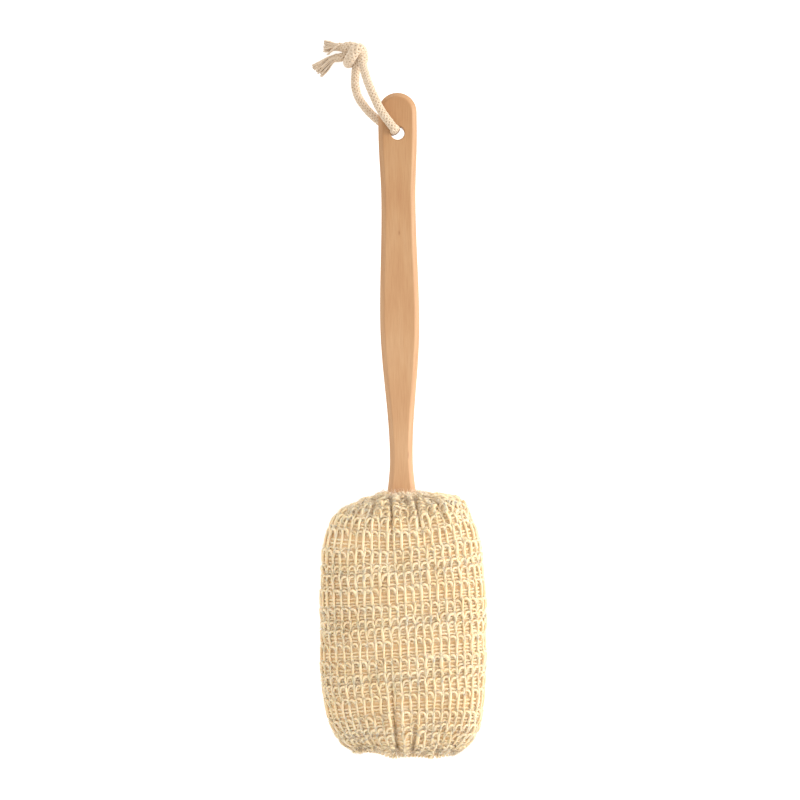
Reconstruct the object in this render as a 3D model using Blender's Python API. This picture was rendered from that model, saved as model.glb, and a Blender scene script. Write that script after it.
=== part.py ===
"""Body dry brush: a flat wooden handle whose lapped tongue carries a plywood paddle, padded
with two foam slabs in a cotton bag, inside a knitted sisal sleeve that is drawn together round
the neck and closed at the base. A knotted cotton cord hangs in a hole at the handle's end.

The brush lies on its back: +Y runs from the head to the handle's end, +Z is the face that
brushes, and the origin is on the ground under the middle of the brush without its cord.
"""

import math

import bmesh
import bpy
from mathutils import Matrix, Vector

MM = 0.001
GAP = 0.3 * MM
# How far a cutter stands out beyond the faces that it goes through.
CUTTER_REACH = 1.0 * MM
# Edges sharper than this stay crisp in a smooth-shaded piece.
CRISP_ANGLE = math.radians(35)

# The whole brush, without its cord.
BRUSH_LENGTH = 420 * MM
TIP_Y = BRUSH_LENGTH / 2
BASE_Y = -BRUSH_LENGTH / 2

# The head: a pillow, flat where it lies on the ground.
HEAD_LENGTH = 168 * MM
HEAD_WIDTH = 104 * MM
HEAD_THICKNESS = 46 * MM
HEAD_SUNK = 1.5 * MM
HEAD_Y = BASE_Y + HEAD_LENGTH / 2
MID_Z = HEAD_THICKNESS / 2 - HEAD_SUNK
PLAN_POWER = 3.5
SIDE_POWER = 2.6
SECTION_POWER = 2.7
RING_POINTS = 32
RING_COUNT = 18

# Its layers, from the outside in.
KNIT_WALL = 3.0 * MM
LINING_WALL = 0.8 * MM
LINING_INSET = KNIT_WALL + GAP
FOAM_INSET = LINING_INSET + LINING_WALL + GAP

# The handle. Each pair is how far from the tip along Y, and half the width there, at the
# places where the outline is widest or narrowest.
HANDLE_THICKNESS = 11 * MM
HANDLE_FRONT_Z = MID_Z + HANDLE_THICKNESS / 2
HANDLE_BACK_Z = MID_Z - HANDLE_THICKNESS / 2
HANDLE_CHAMFER = 2.8 * MM
CHAMFER_EASING = 0.35 * MM
# The chamfer takes the square edges, and the easing takes the chamfer's own edges.
SQUARE_EDGE = math.radians(60)
CHAMFER_EDGE = math.radians(30)
TIP_RADIUS = 12.2 * MM
HANDLE_STATIONS = (
    (24 * MM, 12.2 * MM),
    (69 * MM, 10.8 * MM),
    (143 * MM, 12.4 * MM),
    (231 * MM, 7.2 * MM),
    (272 * MM, 10.6 * MM),
)
HANDLE_STEP = 6 * MM
TIP_POINTS = 16
HOLE_Y = TIP_Y - 25.6 * MM
HOLE_RADIUS = 4.3 * MM
HOLE_CHAMFER = 0.6 * MM
HOLE_POINTS = 40

# The lap joint between the handle's tongue and the paddle.
TONGUE_HALF_WIDTH = HANDLE_STATIONS[-1][1]
TONGUE_END_Y = HEAD_Y - 40 * MM
SHOULDER_Y = HEAD_Y + 66.5 * MM
PADDLE_HALF_WIDTH = 40 * MM
PADDLE_HALF_LENGTH = 66 * MM
PADDLE_LIFT = 0.2 * MM
PADDLE_FRONT_Z = MID_Z - GAP / 2
PADDLE_BACK_Z = HANDLE_BACK_Z + PADDLE_LIFT
TONGUE_BACK_Z = MID_Z + GAP / 2
PADDLE_POINTS = 48

# Countersunk wood screws, driven from the paddle's back.
SCREW_PLACES = (HEAD_Y + 50 * MM, HEAD_Y + 10 * MM, HEAD_Y - 30 * MM)
SCREW_LENGTH = 9.5 * MM
SCREW_TIP_LENGTH = 2.0 * MM
SCREW_HEAD_RADIUS = 3.4 * MM
SCREW_HEAD_DEPTH = 2.2 * MM
SCREW_SHANK_RADIUS = 1.6 * MM
SCREW_POINTS = 20
RECESS_LENGTH = 3.4 * MM
RECESS_WIDTH = 0.8 * MM
RECESS_DEPTH = 1.3 * MM

# The elastic that draws the sleeve round the neck, and the thread that closes its base. Each
# is a loop round a rounded rectangle.
LOOP_POWER = 2.86
LOOP_POINTS = 32
LOOP_BEVEL_STEPS = 2
THROAT_LENGTH = 14 * MM
ELASTIC_Y = HEAD_Y + HEAD_LENGTH / 2 - 5 * MM
ELASTIC_RADIUS = 1.0 * MM
ELASTIC_HALF_WIDTH = 12.2 * MM
ELASTIC_HALF_HEIGHT = 7.8 * MM
THREAD_RADIUS = 0.7 * MM
THREAD_HALF_WIDTH = 14.5 * MM
THREAD_HALF_HEIGHT = 2.0 * MM

# The hanging cord. Its routes run out of the hole on each face and down to the knot.
CORD_RADIUS = 2.75 * MM
CORD_POINT_SPACING = 2.4 * MM
CORD_BEVEL_STEPS = 2
# How many straight pieces stand for the curve from one point of a route to the next.
ROUTE_STEPS = 24
FRONT_RUN_ROUTE = (
    (-0.7, 185.1, 21.8),
    (-0.7, 185.1, 24.8),
    (-1.0, 185.5, 27.6),
    (-2.2, 187.0, 29.8),
    (-5.0, 190.6, 30.5),
    (-8.7, 195.7, 30.5),
    (-11.7, 200.7, 30.3),
    (-14.1, 206.0, 29.6),
    (-16.4, 211.6, 26.8),
    (-18.5, 217.4, 21.8),
    (-20.1, 222.8, 17.2),
    (-21.2, 227.2, 13.8),
)
BACK_RUN_ROUTE = (
    (-0.7, 185.1, 21.2),
    (-0.7, 185.1, 18.2),
    (-1.1, 185.4, 15.4),
    (-2.6, 186.5, 13.2),
    (-5.6, 188.8, 12.2),
    (-10.2, 192.3, 11.0),
    (-15.0, 196.5, 8.6),
    (-20.1, 202.2, 5.4),
    (-24.6, 209.2, 3.4),
    (-26.6, 216.2, 3.0),
    (-26.6, 221.8, 3.4),
    (-26.1, 226.6, 4.6),
)
KNOT_CENTRE = (-26.2, 235.4, 7.0)
KNOT_HALF_SIZE = (7.2, 7.4, 7.0)
KNOT_SEGMENTS = 20
KNOT_RINGS = 12
FRONT_TAIL_ROUTE = (
    (-35.2, 234.8, 5.0),
    (-38.8, 234.5, 3.8),
    (-43.0, 233.3, 3.1),
    (-47.0, 230.4, 3.0),
    (-50.2, 226.8, 3.0),
)
BACK_TAIL_ROUTE = (
    (-34.0, 240.9, 5.6),
    (-37.2, 241.7, 4.4),
    (-41.4, 241.9, 3.4),
    (-46.0, 241.5, 3.0),
)


def clear_scene():
    """Removes every object of the open scene."""
    for obj in list(bpy.data.objects):
        bpy.data.objects.remove(obj)


def material(name, colour, roughness, metallic=0.0):
    """A Principled material with one colour."""
    made = bpy.data.materials.new(name)
    made.use_nodes = True
    shader = made.node_tree.nodes["Principled BSDF"]
    shader.inputs["Base Color"].default_value = (*colour, 1.0)
    shader.inputs["Roughness"].default_value = roughness
    shader.inputs["Metallic"].default_value = metallic
    return made


def object_from(name, bm, surface=None):
    """Turns a bmesh into a named object, shaded smooth across its shallow edges."""
    mesh = bpy.data.meshes.new(name)
    bmesh.ops.recalc_face_normals(bm, faces=bm.faces)
    bm.to_mesh(mesh)
    bm.free()
    mesh.shade_smooth()
    mesh.set_sharp_from_angle(angle=CRISP_ANGLE)
    if surface is not None:
        mesh.materials.append(surface)
    obj = bpy.data.objects.new(name, mesh)
    bpy.context.scene.collection.objects.link(obj)
    return obj


def as_cutter(obj):
    """Keeps a Boolean's helper out of the finished brush."""
    obj.hide_render = True
    obj.display_type = "WIRE"
    return obj


def cut(obj, *cutters):
    """Takes each cutter's shape away from the object."""
    for cutter in cutters:
        step = obj.modifiers.new(f"less {cutter.name}", "BOOLEAN")
        step.operation = "DIFFERENCE"
        step.solver = "EXACT"
        step.object = cutter
    return obj


def box_cutter(name, low, high):
    """A box between two corners, for cutting."""
    bm = bmesh.new()
    bmesh.ops.create_cube(bm, size=1.0)
    size = Vector(high) - Vector(low)
    middle = (Vector(high) + Vector(low)) / 2
    bmesh.ops.scale(bm, vec=size, verts=bm.verts)
    bmesh.ops.translate(bm, vec=middle, verts=bm.verts)
    return as_cutter(object_from(name, bm))


def prism(outline, low_z, high_z):
    """A bmesh of a plan outline, extruded from one height to another."""
    bm = bmesh.new()
    face = bm.faces.new([bm.verts.new((x, y, low_z)) for x, y in outline])
    raised = bmesh.ops.extrude_face_region(bm, geom=[face])["geom"]
    top = [v for v in raised if isinstance(v, bmesh.types.BMVert)]
    bmesh.ops.translate(bm, vec=(0, 0, high_z - low_z), verts=top)
    return bm


def turned(profile, points, centre):
    """A bmesh of a (radius, height) profile turned about a vertical axis through the centre."""
    bm = bmesh.new()
    rings = [bm.verts.new((radius, 0, height)) for radius, height in profile]
    edges = [bm.edges.new(pair) for pair in zip(rings, rings[1:])]
    bmesh.ops.spin(
        bm,
        geom=rings + edges,
        cent=(0, 0, 0),
        axis=(0, 0, 1),
        angle=2 * math.pi,
        steps=points,
        use_merge=True,
    )
    bmesh.ops.remove_doubles(bm, verts=bm.verts, dist=0.001 * MM)
    bmesh.ops.translate(bm, vec=centre, verts=bm.verts)
    return bm


def signed_power(value, power):
    """The value's size raised to a power, with its sign kept."""
    return math.copysign(abs(value) ** power, value)


def super_ellipse(half_x, half_y, power, count, centre_y):
    """The points of a rounded-off rectangle in plan."""
    points = []
    for i in range(count):
        angle = 2 * math.pi * (i + 0.5) / count
        x = half_x * signed_power(math.cos(angle), 2 / power)
        y = half_y * signed_power(math.sin(angle), 2 / power)
        points.append((x, centre_y + y))
    return points


def pillow(inset):
    """A bmesh of the head's shape, inset by a distance and flat underneath.

    It starts as a sphere with its poles on Y, and each point moves out to the pillow.
    """
    half_width = HEAD_WIDTH / 2 - inset
    half_length = HEAD_LENGTH / 2 - inset
    half_height = HEAD_THICKNESS / 2 - inset
    bm = bmesh.new()
    bmesh.ops.create_uvsphere(
        bm,
        u_segments=RING_POINTS,
        v_segments=RING_COUNT,
        radius=1.0,
        matrix=Matrix.Rotation(math.radians(90), 4, "X"),
    )
    for vert in bm.verts:
        along = max(-1.0, min(1.0, vert.co.y))
        share = signed_power(along, 2 / PLAN_POWER)
        width = half_width * (1 - along * along) ** (1 / PLAN_POWER)
        height = half_height * (1 - abs(share) ** SIDE_POWER) ** (1 / SIDE_POWER)
        turn = math.atan2(vert.co.z, vert.co.x)
        x = width * signed_power(math.cos(turn), 2 / SECTION_POWER)
        z = height * signed_power(math.sin(turn), 2 / SECTION_POWER)
        vert.co = (x, HEAD_Y + half_length * share, max(MID_Z + z, inset))
    return bm


def handle_half_width(y):
    """Half the handle's width: it eases from each widest or narrowest place to the next."""
    stations = [(TIP_Y - back, half) for back, half in HANDLE_STATIONS]
    if y >= stations[0][0]:
        return stations[0][1]
    for (high, wide), (low, narrow) in zip(stations, stations[1:]):
        if y >= low:
            share = (high - y) / (high - low)
            eased = (1 - math.cos(math.pi * share)) / 2
            return wide + (narrow - wide) * eased
    return stations[-1][1]


def handle_outline():
    """The handle's plan outline: a half-round tip, and the same curve down both sides."""
    tip_centre = TIP_Y - TIP_RADIUS
    tip = []
    for i in range(TIP_POINTS + 1):
        angle = math.pi * i / TIP_POINTS
        x = TIP_RADIUS * math.cos(angle)
        tip.append((x, tip_centre + TIP_RADIUS * math.sin(angle)))
    steps = round((tip_centre - TONGUE_END_Y) / HANDLE_STEP)
    heights = [
        tip_centre - (tip_centre - TONGUE_END_Y) * i / steps
        for i in range(1, steps + 1)
    ]
    left = [(-handle_half_width(y), y) for y in heights]
    right = [(handle_half_width(y), y) for y in reversed(heights)]
    return tip + left + right


def screw_hole(name, place_y, head_radius, shank_radius, top_z):
    """A cutter for one countersunk screw, from behind the paddle up to a height."""
    below = PADDLE_BACK_Z - CUTTER_REACH
    profile = (
        (0.0, below),
        (head_radius, below),
        (head_radius, PADDLE_BACK_Z),
        (shank_radius, PADDLE_BACK_Z + SCREW_HEAD_DEPTH),
        (shank_radius, top_z),
        (0.0, top_z),
    )
    bm = turned(profile, SCREW_POINTS, (0, place_y, 0))
    return as_cutter(object_from(name, bm))


def make_screw_holes():
    """One hole cutter for each screw, which both the paddle and the tongue are cut by."""
    return [
        screw_hole(
            f"screw_hole_{i + 1}",
            y,
            SCREW_HEAD_RADIUS + GAP,
            SCREW_SHANK_RADIUS + GAP,
            PADDLE_BACK_Z + SCREW_LENGTH + GAP,
        )
        for i, y in enumerate(SCREW_PLACES)
    ]


def make_handle(surface, screw_holes):
    """The wooden handle, with its hanging hole, eased edges and lapped tongue."""
    bm = prism(handle_outline(), HANDLE_BACK_Z, HANDLE_FRONT_Z)
    handle = object_from("handle", bm, surface)
    for label, width, sharpest in (
        ("chamfer", HANDLE_CHAMFER, SQUARE_EDGE),
        ("eased chamfer", CHAMFER_EASING, CHAMFER_EDGE),
    ):
        bevel = handle.modifiers.new(label, "BEVEL")
        bevel.width = width
        bevel.segments = 1
        bevel.limit_method = "ANGLE"
        bevel.angle_limit = sharpest
    wide = HOLE_RADIUS + HOLE_CHAMFER + CUTTER_REACH
    profile = (
        (0.0, HANDLE_BACK_Z - CUTTER_REACH),
        (wide, HANDLE_BACK_Z - CUTTER_REACH),
        (HOLE_RADIUS, HANDLE_BACK_Z + HOLE_CHAMFER),
        (HOLE_RADIUS, HANDLE_FRONT_Z - HOLE_CHAMFER),
        (wide, HANDLE_FRONT_Z + CUTTER_REACH),
        (0.0, HANDLE_FRONT_Z + CUTTER_REACH),
    )
    hole = turned(profile, HOLE_POINTS, (0, HOLE_Y, 0))
    hanging_hole = as_cutter(object_from("hanging_hole", hole))
    lap = box_cutter(
        "lap",
        (-HEAD_WIDTH / 2, BASE_Y, 0),
        (HEAD_WIDTH / 2, SHOULDER_Y, TONGUE_BACK_Z),
    )
    return cut(handle, hanging_hole, lap, *screw_holes)


def make_paddle(surface, screw_holes):
    """The plywood paddle that the tongue is screwed to."""
    outline = super_ellipse(
        PADDLE_HALF_WIDTH, PADDLE_HALF_LENGTH, PLAN_POWER, PADDLE_POINTS, HEAD_Y
    )
    bm = prism(outline, PADDLE_BACK_Z, PADDLE_FRONT_Z)
    return cut(object_from("paddle_board", bm, surface), *screw_holes)


def make_screws(surface):
    """The countersunk screws, with their cross recesses."""
    profile = (
        (0.0, 0.0),
        (SCREW_HEAD_RADIUS, 0.0),
        (SCREW_SHANK_RADIUS, SCREW_HEAD_DEPTH),
        (SCREW_SHANK_RADIUS, SCREW_LENGTH - SCREW_TIP_LENGTH),
        (0.0, SCREW_LENGTH),
    )
    for i, y in enumerate(SCREW_PLACES):
        bm = turned(profile, SCREW_POINTS, (0, y, PADDLE_BACK_Z))
        screw = object_from(f"paddle_screw_{i + 1}", bm, surface)
        for turn, (wide, long) in enumerate(
            ((RECESS_WIDTH, RECESS_LENGTH), (RECESS_LENGTH, RECESS_WIDTH))
        ):
            low = (-wide / 2, y - long / 2, PADDLE_BACK_Z - RECESS_DEPTH)
            high = (wide / 2, y + long / 2, PADDLE_BACK_Z + RECESS_DEPTH)
            cut(screw, box_cutter(f"recess_{i + 1}_{turn + 1}", low, high))


def make_throat():
    """The room round the handle's neck that the foam and the sleeves leave for the elastic."""
    low_y = HEAD_Y + HEAD_LENGTH / 2 - THROAT_LENGTH
    half_width = ELASTIC_HALF_WIDTH + ELASTIC_RADIUS + GAP
    half_height = ELASTIC_HALF_HEIGHT + ELASTIC_RADIUS + GAP
    return box_cutter(
        "throat",
        (-half_width, low_y, MID_Z - half_height),
        (half_width, 0, MID_Z + half_height),
    )


def make_foam(surface, throat):
    """Two foam slabs that meet edge to edge round the paddle, which each is hollowed for."""
    beyond = HEAD_LENGTH
    side = HEAD_WIDTH
    tongue_room = box_cutter(
        "tongue_room",
        (-TONGUE_HALF_WIDTH - GAP, TONGUE_END_Y - GAP, HANDLE_BACK_Z - GAP),
        (TONGUE_HALF_WIDTH + GAP, 0, HANDLE_FRONT_Z + GAP),
    )
    outline = super_ellipse(
        PADDLE_HALF_WIDTH + GAP,
        PADDLE_HALF_LENGTH + GAP,
        PLAN_POWER,
        PADDLE_POINTS,
        HEAD_Y,
    )
    room = prism(outline, PADDLE_BACK_Z - GAP, HANDLE_FRONT_Z)
    paddle_room = as_cutter(object_from("paddle_room", room))
    lower_half = box_cutter(
        "lower_half",
        (-side, HEAD_Y - beyond, -side),
        (side, HEAD_Y + beyond, MID_Z + GAP / 2),
    )
    upper_half = box_cutter(
        "upper_half",
        (-side, HEAD_Y - beyond, MID_Z - GAP / 2),
        (side, HEAD_Y + beyond, side),
    )
    front = object_from("front_foam", pillow(FOAM_INSET), surface)
    back = object_from("back_foam", pillow(FOAM_INSET), surface)
    cut(front, lower_half, tongue_room, throat)
    cut(back, upper_half, paddle_room, tongue_room, throat)


def make_sleeves(cotton, sisal, throat):
    """The cotton bag and the knitted sisal sleeve, each open round the neck."""
    room = THREAD_RADIUS + GAP
    base_slit = box_cutter(
        "base_slit",
        (-THREAD_HALF_WIDTH - room, BASE_Y - KNIT_WALL, MID_Z - THREAD_HALF_HEIGHT - room),
        (THREAD_HALF_WIDTH + room, BASE_Y + LINING_INSET, MID_Z + THREAD_HALF_HEIGHT + room),
    )
    inside_knit = as_cutter(object_from("inside_knit", pillow(KNIT_WALL)))
    inside_lining = as_cutter(
        object_from("inside_lining", pillow(LINING_INSET + LINING_WALL))
    )
    sleeve = object_from("sisal_sleeve", pillow(0.0), sisal)
    lining = object_from("cotton_lining", pillow(LINING_INSET), cotton)
    cut(sleeve, inside_knit, throat, base_slit)
    cut(lining, inside_lining, throat)


def drawn_ring(name, y, half_width, half_height, thread_radius, surface):
    """A closed loop of cord or thread, round a rounded rectangle that stands across Y."""
    curve = bpy.data.curves.new(name, "CURVE")
    curve.dimensions = "3D"
    curve.bevel_depth = thread_radius
    curve.bevel_resolution = LOOP_BEVEL_STEPS
    spline = curve.splines.new("POLY")
    spline.points.add(LOOP_POINTS - 1)
    spline.use_cyclic_u = True
    for i, point in enumerate(spline.points):
        angle = 2 * math.pi * i / LOOP_POINTS
        x = half_width * signed_power(math.cos(angle), 2 / LOOP_POWER)
        z = half_height * signed_power(math.sin(angle), 2 / LOOP_POWER)
        point.co = (x, y, MID_Z + z, 1.0)
    curve.materials.append(surface)
    ring = bpy.data.objects.new(name, curve)
    bpy.context.scene.collection.objects.link(ring)


def smooth_route(route, spacing):
    """Points a spacing apart on one smooth curve through the route's own points."""
    known = [Vector(point) * MM for point in route]
    known = [2 * known[0] - known[1], *known, 2 * known[-1] - known[-2]]
    fine = []
    for before, start, end, after in zip(known, known[1:], known[2:], known[3:]):
        for i in range(ROUTE_STEPS):
            t = i / ROUTE_STEPS
            fine.append(
                0.5
                * (
                    2 * start
                    + (end - before) * t
                    + (2 * before - 5 * start + 4 * end - after) * t * t
                    + (3 * start - before - 3 * end + after) * t * t * t
                )
            )
    fine.append(known[-2])
    total = sum((b - a).length for a, b in zip(fine, fine[1:]))
    wanted = max(2, round(total / spacing))
    points, gone = [fine[0]], 0.0
    for a, b in zip(fine, fine[1:]):
        step = (b - a).length
        while len(points) < wanted and gone + step >= total * len(points) / wanted:
            share = (total * len(points) / wanted - gone) / step
            points.append(a.lerp(b, share))
        gone += step
    points.append(fine[-1])
    return points


def cord_tube(name, route, surface):
    """A plain tube of cord along a route."""
    curve = bpy.data.curves.new(name, "CURVE")
    curve.dimensions = "3D"
    curve.bevel_depth = CORD_RADIUS
    curve.bevel_resolution = CORD_BEVEL_STEPS
    curve.use_fill_caps = True
    points = smooth_route(route, CORD_POINT_SPACING)
    spline = curve.splines.new("POLY")
    spline.points.add(len(points) - 1)
    for place, point in zip(points, spline.points):
        point.co = (*place, 1.0)
    curve.materials.append(surface)
    tube = bpy.data.objects.new(name, curve)
    bpy.context.scene.collection.objects.link(tube)


def make_knot(surface):
    """The outer shape of the overhand knot that both ends are tied in."""
    bm = bmesh.new()
    bmesh.ops.create_uvsphere(bm, u_segments=KNOT_SEGMENTS, v_segments=KNOT_RINGS, radius=1.0)
    bmesh.ops.scale(bm, vec=Vector(KNOT_HALF_SIZE) * MM, verts=bm.verts)
    bmesh.ops.translate(bm, vec=Vector(KNOT_CENTRE) * MM, verts=bm.verts)
    object_from("cord_knot", bm, surface)


def main():
    clear_scene()
    beech = material("beech", (0.66, 0.39, 0.20), 0.5)
    plywood = material("plywood", (0.58, 0.40, 0.23), 0.6)
    steel = material("zinc plated steel", (0.62, 0.62, 0.60), 0.35, 1.0)
    foam = material("polyurethane foam", (0.80, 0.70, 0.48), 0.95)
    cotton = material("cotton cloth", (0.74, 0.58, 0.37), 0.9)
    sisal = material("sisal yarn", (0.80, 0.62, 0.37), 0.9)
    cord = material("braided cotton cord", (0.86, 0.76, 0.60), 0.9)
    elastic = material("covered elastic", (0.82, 0.78, 0.70), 0.8)

    screw_holes = make_screw_holes()
    make_handle(beech, screw_holes)
    make_paddle(plywood, screw_holes)
    make_screws(steel)
    throat = make_throat()
    make_foam(foam, throat)
    make_sleeves(cotton, sisal, throat)
    drawn_ring(
        "neck_elastic",
        ELASTIC_Y,
        ELASTIC_HALF_WIDTH,
        ELASTIC_HALF_HEIGHT,
        ELASTIC_RADIUS,
        elastic,
    )
    drawn_ring(
        "base_closing_thread",
        BASE_Y + THREAD_RADIUS,
        THREAD_HALF_WIDTH,
        THREAD_HALF_HEIGHT,
        THREAD_RADIUS,
        sisal,
    )
    cord_tube("cord_front_run", FRONT_RUN_ROUTE, cord)
    cord_tube("cord_back_run", BACK_RUN_ROUTE, cord)
    make_knot(cord)
    cord_tube("cord_front_tail", FRONT_TAIL_ROUTE, cord)
    cord_tube("cord_back_tail", BACK_TAIL_ROUTE, cord)


main()
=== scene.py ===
"""Body dry brush: beech handle, padded head in a knitted sisal sleeve, and a cotton hanging cord."""

import math

import bpy
import numpy as np
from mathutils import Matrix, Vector


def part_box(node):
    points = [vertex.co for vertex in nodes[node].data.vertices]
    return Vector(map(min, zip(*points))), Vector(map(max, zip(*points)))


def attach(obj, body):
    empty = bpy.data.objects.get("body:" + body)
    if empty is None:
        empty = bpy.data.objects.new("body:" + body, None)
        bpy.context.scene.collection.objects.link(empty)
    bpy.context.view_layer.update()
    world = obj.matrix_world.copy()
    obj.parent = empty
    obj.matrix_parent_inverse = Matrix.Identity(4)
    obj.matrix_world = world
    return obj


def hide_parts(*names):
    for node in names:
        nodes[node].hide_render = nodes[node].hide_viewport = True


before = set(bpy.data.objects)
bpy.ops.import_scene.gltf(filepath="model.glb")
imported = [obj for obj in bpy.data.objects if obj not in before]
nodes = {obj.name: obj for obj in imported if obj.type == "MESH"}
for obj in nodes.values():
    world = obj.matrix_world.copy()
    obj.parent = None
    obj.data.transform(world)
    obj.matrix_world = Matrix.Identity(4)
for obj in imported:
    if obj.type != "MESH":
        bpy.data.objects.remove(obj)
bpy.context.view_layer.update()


# ---------------------------------------------------------------------------------------------
# Paddle board. A plywood board inside the head, which the handle's tongue is screwed to. Its
# rotary-cut face veneer has a wide, low-contrast figure, and it is left unsealed.

MM = 0.001
# The figure's size across the grain, along it and through the board.
VENEER_FIGURE = (17 * MM, 143 * MM, 17 * MM)


def linear(code):
    """An sRGB hex colour as linear red, green, blue and alpha."""
    parts = [int(code[i : i + 2], 16) / 255 for i in (1, 3, 5)]
    return (*(c / 12.92 if c <= 0.04045 else ((c + 0.055) / 1.055) ** 2.4 for c in parts), 1.0)


def add(tree, kind, inputs=None, stops=None, **settings):
    """Adds a node with its settings, its colour stops, and values or links for its inputs."""
    made = tree.nodes.new("ShaderNode" + kind)
    for name, value in settings.items():
        setattr(made, name, value)
    for name, value in (inputs or {}).items():
        if isinstance(value, bpy.types.NodeSocket):
            tree.links.new(value, made.inputs[name])
        else:
            made.inputs[name].default_value = value
    if stops:
        elements = made.color_ramp.elements
        while len(elements) < len(stops):
            elements.new(0.5)
        for element, (place, colour) in zip(elements, stops):
            element.position = place
            element.color = linear(colour)
    return made


def new_material(name):
    """An empty node material, its tree and its Principled shader."""
    made = bpy.data.materials.new(name)
    made.use_nodes = True
    return made, made.node_tree, made.node_tree.nodes["Principled BSDF"]


def wear(piece, material):
    """Gives a piece one material."""
    piece.data.materials.clear()
    piece.data.materials.append(material)


# Birch plywood, rotary cut and left raw: a broad, faint figure on a dull, pale brown face.
plywood, tree, shader = new_material("rotary_cut_birch_plywood")
place = add(tree, "TexCoord").outputs["Object"]
veneer_scale = [1 / size for size in VENEER_FIGURE]
veneer_size = add(tree, "Mapping", {"Vector": place, "Scale": veneer_scale})
veneer = add(tree, "TexNoise", {"Vector": veneer_size.outputs[0], "Scale": 1.0, "Detail": 5.0})
tint = add(tree, "ValToRGB", {"Fac": veneer.outputs["Fac"]}, [(0.3, "#c39d6c"), (0.7, "#dcbc8e")])
tree.links.new(tint.outputs[0], shader.inputs["Base Color"])
shader.inputs["Roughness"].default_value = 0.7
wear(nodes["paddle_board"], plywood)


# ---------------------------------------------------------------------------------------------
# Screws. Three countersunk steel wood screws, zinc plated, that are driven from the front
# through the handle's tongue into the paddle board.

PLATING_MOTTLE = 1.11 * MM

# Steel with bright zinc plate: grey metal, with a fine mottle that breaks up its reflections.
zinc, tree, shader = new_material("zinc_plated_steel")
place = add(tree, "TexCoord").outputs["Object"]
mottle = add(tree, "TexNoise", {"Vector": place, "Scale": 1 / PLATING_MOTTLE, "Detail": 3.0})
gloss = add(tree, "MapRange", {0: mottle.outputs["Fac"], 3: 0.28, 4: 0.45})
tree.links.new(gloss.outputs[0], shader.inputs["Roughness"])
shader.inputs["Base Color"].default_value = linear("#cfcfcb")
shader.inputs["Metallic"].default_value = 1.0
for name in ("paddle_screw_1", "paddle_screw_2", "paddle_screw_3"):
    wear(nodes[name], zinc)


# ---------------------------------------------------------------------------------------------
# Handle. One flat length of beech, chamfered along its edges, sanded fine and wiped with a
# thin clear finish. It is flat sawn: straight lines at the edges, and long arches up the middle.

# Where the tree's middle ran under the face, and how far the board was sawn off its line.
PITH_ASIDE, PITH_DEPTH = 1 * MM, 46 * MM
PITH_TILT, PITH_TURN = math.radians(2.4), math.radians(0.5)
RING_WIDTH = 2.6 * MM
RING_WANDER = 3.2 * MM
# A wave texture of scale 1 has a band every 0.314 m.
WAVE_BAND = 0.314
# Sizes across the grain and along it. Real pores are about 0.1 mm wide, too fine to show, so
# they are drawn coarser.
BEND_WIDE, BEND_LONG = 14.3 * MM, 111 * MM
STREAK_WIDE, STREAK_LONG = 1.6 * MM, 91 * MM
PORE_WIDE, PORE_LONG = 0.385 * MM, 11.8 * MM
NECK_Y, TIP_Y = -45 * MM, 205 * MM
# Two short dark mineral marks in the face: how far up, how far across, half their width and
# half their length, in millimetres.
MARKS = ((121.2, 0.3, 0.6, 1.6), (-19.0, 4.4, 0.4, 2.6))

handle = nodes["handle"]
handle_low, handle_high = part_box("handle")
# Beech, sanded fine and thinly sealed: warm tan with short fine pores, faint rings that show
# as arches, and a soft gloss that is duller in the pores.
beech, tree, shader = new_material("sealed_beech")
place = add(tree, "TexCoord").outputs["Object"]
bend_scale = (1 / BEND_WIDE, 1 / BEND_LONG, 1 / BEND_WIDE)
bent = add(tree, "Mapping", {"Vector": place, "Scale": bend_scale})
bend = add(tree, "TexNoise", {"Vector": bent.outputs[0], "Scale": 1.0, "Detail": 2.0})
pith = add(
    tree,
    "Mapping",
    {
        "Vector": place,
        "Location": (-PITH_ASIDE, 0.0, PITH_DEPTH),
        "Rotation": (PITH_TILT, 0.0, PITH_TURN),
    },
)
shift = add(
    tree,
    "VectorMath",
    {0: bend.outputs["Color"], 1: (RING_WANDER, RING_WANDER, RING_WANDER)},
    operation="MULTIPLY",
)
ring_place = add(tree, "VectorMath", {0: pith.outputs[0], 1: shift.outputs[0]})
rings = add(
    tree,
    "TexWave",
    {"Vector": ring_place.outputs[0], "Scale": WAVE_BAND / RING_WIDTH, "Distortion": 0.6},
    wave_type="RINGS",
    rings_direction="Y",
    wave_profile="SIN",
)
pore_scale = (1 / PORE_WIDE, 1 / PORE_LONG, 1 / PORE_WIDE)
pore_size = add(tree, "Mapping", {"Vector": place, "Scale": pore_scale})
pores = add(tree, "TexNoise", {"Vector": pore_size.outputs[0], "Scale": 1.0, "Detail": 3.0})
streak_scale = (1 / STREAK_WIDE, 1 / STREAK_LONG, 1 / STREAK_WIDE)
streak_size = add(tree, "Mapping", {"Vector": place, "Scale": streak_scale})
streaks = add(tree, "TexNoise", {"Vector": streak_size.outputs[0], "Scale": 1.0, "Detail": 4.0})
figure = add(
    tree,
    "Mix",
    {0: 0.66, 2: rings.outputs["Fac"], 3: streaks.outputs["Fac"]},
    data_type="FLOAT",
)
figure_tint = add(
    tree,
    "ValToRGB",
    {"Fac": figure.outputs[0]},
    [(0.2, "#f3e9e0"), (0.5, "#faf5ef"), (0.8, "#ffffff")],
)
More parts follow.
